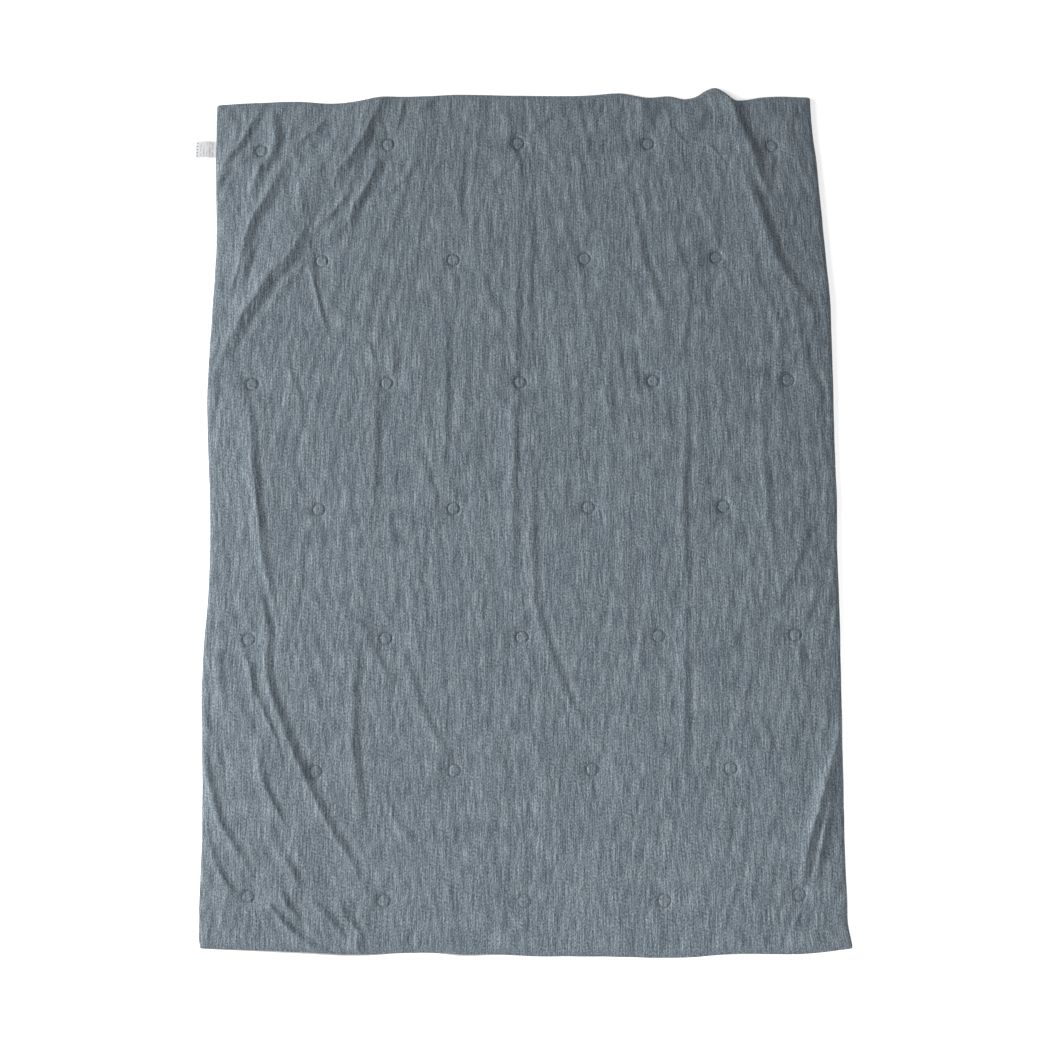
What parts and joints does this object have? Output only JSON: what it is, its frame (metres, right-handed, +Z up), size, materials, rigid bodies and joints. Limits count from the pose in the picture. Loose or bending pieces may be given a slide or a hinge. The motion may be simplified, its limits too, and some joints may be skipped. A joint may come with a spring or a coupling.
{
  "type": "camp quilt",
  "caption": "Flat rectangular camp quilt with a heather grey face, a white back and soft filling held by staggered ring tacks; a satin care label hangs from one edge.",
  "frame": {"origin": "centre of the underside, on the surface the quilt lies on", "axes": "+X across the width, +Y along the length to the head edge, +Z up out of the face; the care label is on the -X edge"},
  "size_m": [1.5225, 2.02, 0.018],
  "materials": {
    "face_fabric": "matte heather weave",
    "back_fabric": "matte plain weave",
    "wadding": "matte fibre",
    "seam_thread": "spun thread",
    "tack_thread": "spun thread",
    "label_satin": "satin ribbon"
  },
  "bodies": {
    "quilt": {"back_panel": "back_fabric", "care_label_root": "label_satin", "closing_seam_thread": "seam_thread", "edge_seam_thread": "seam_thread", "face_panel": "face_fabric", "fill_batting": "wadding", "ring_tack_1_1": "tack_thread", "ring_tack_1_2": "tack_thread", "ring_tack_1_3": "tack_thread", "ring_tack_1_4": "tack_thread", "ring_tack_1_5": "tack_thread", "ring_tack_2_1": "tack_thread", "ring_tack_2_2": "tack_thread", "ring_tack_2_3": "tack_thread", "ring_tack_2_4": "tack_thread", "ring_tack_3_1": "tack_thread", "ring_tack_3_2": "tack_thread", "ring_tack_3_3": "tack_thread", "ring_tack_3_4": "tack_thread", "ring_tack_3_5": "tack_thread", "ring_tack_4_1": "tack_thread", "ring_tack_4_2": "tack_thread", "ring_tack_4_3": "tack_thread", "ring_tack_4_4": "tack_thread", "ring_tack_5_1": "tack_thread", "ring_tack_5_2": "tack_thread", "ring_tack_5_3": "tack_thread", "ring_tack_5_4": "tack_thread", "ring_tack_5_5": "tack_thread", "ring_tack_6_1": "tack_thread", "ring_tack_6_2": "tack_thread", "ring_tack_6_3": "tack_thread", "ring_tack_6_4": "tack_thread", "ring_tack_7_1": "tack_thread", "ring_tack_7_2": "tack_thread", "ring_tack_7_3": "tack_thread", "ring_tack_7_4": "tack_thread", "ring_tack_7_5": "tack_thread"},
    "label": {"care_label": "label_satin"}
  },
  "joints": [
    {"name": "label_flip", "type": "hinge", "parent": "quilt", "child": "label", "pos_m": [-0.737, 0.889, 0.0012], "axis": [0, 1, 0], "range_deg": [0, 150]}
  ]
}
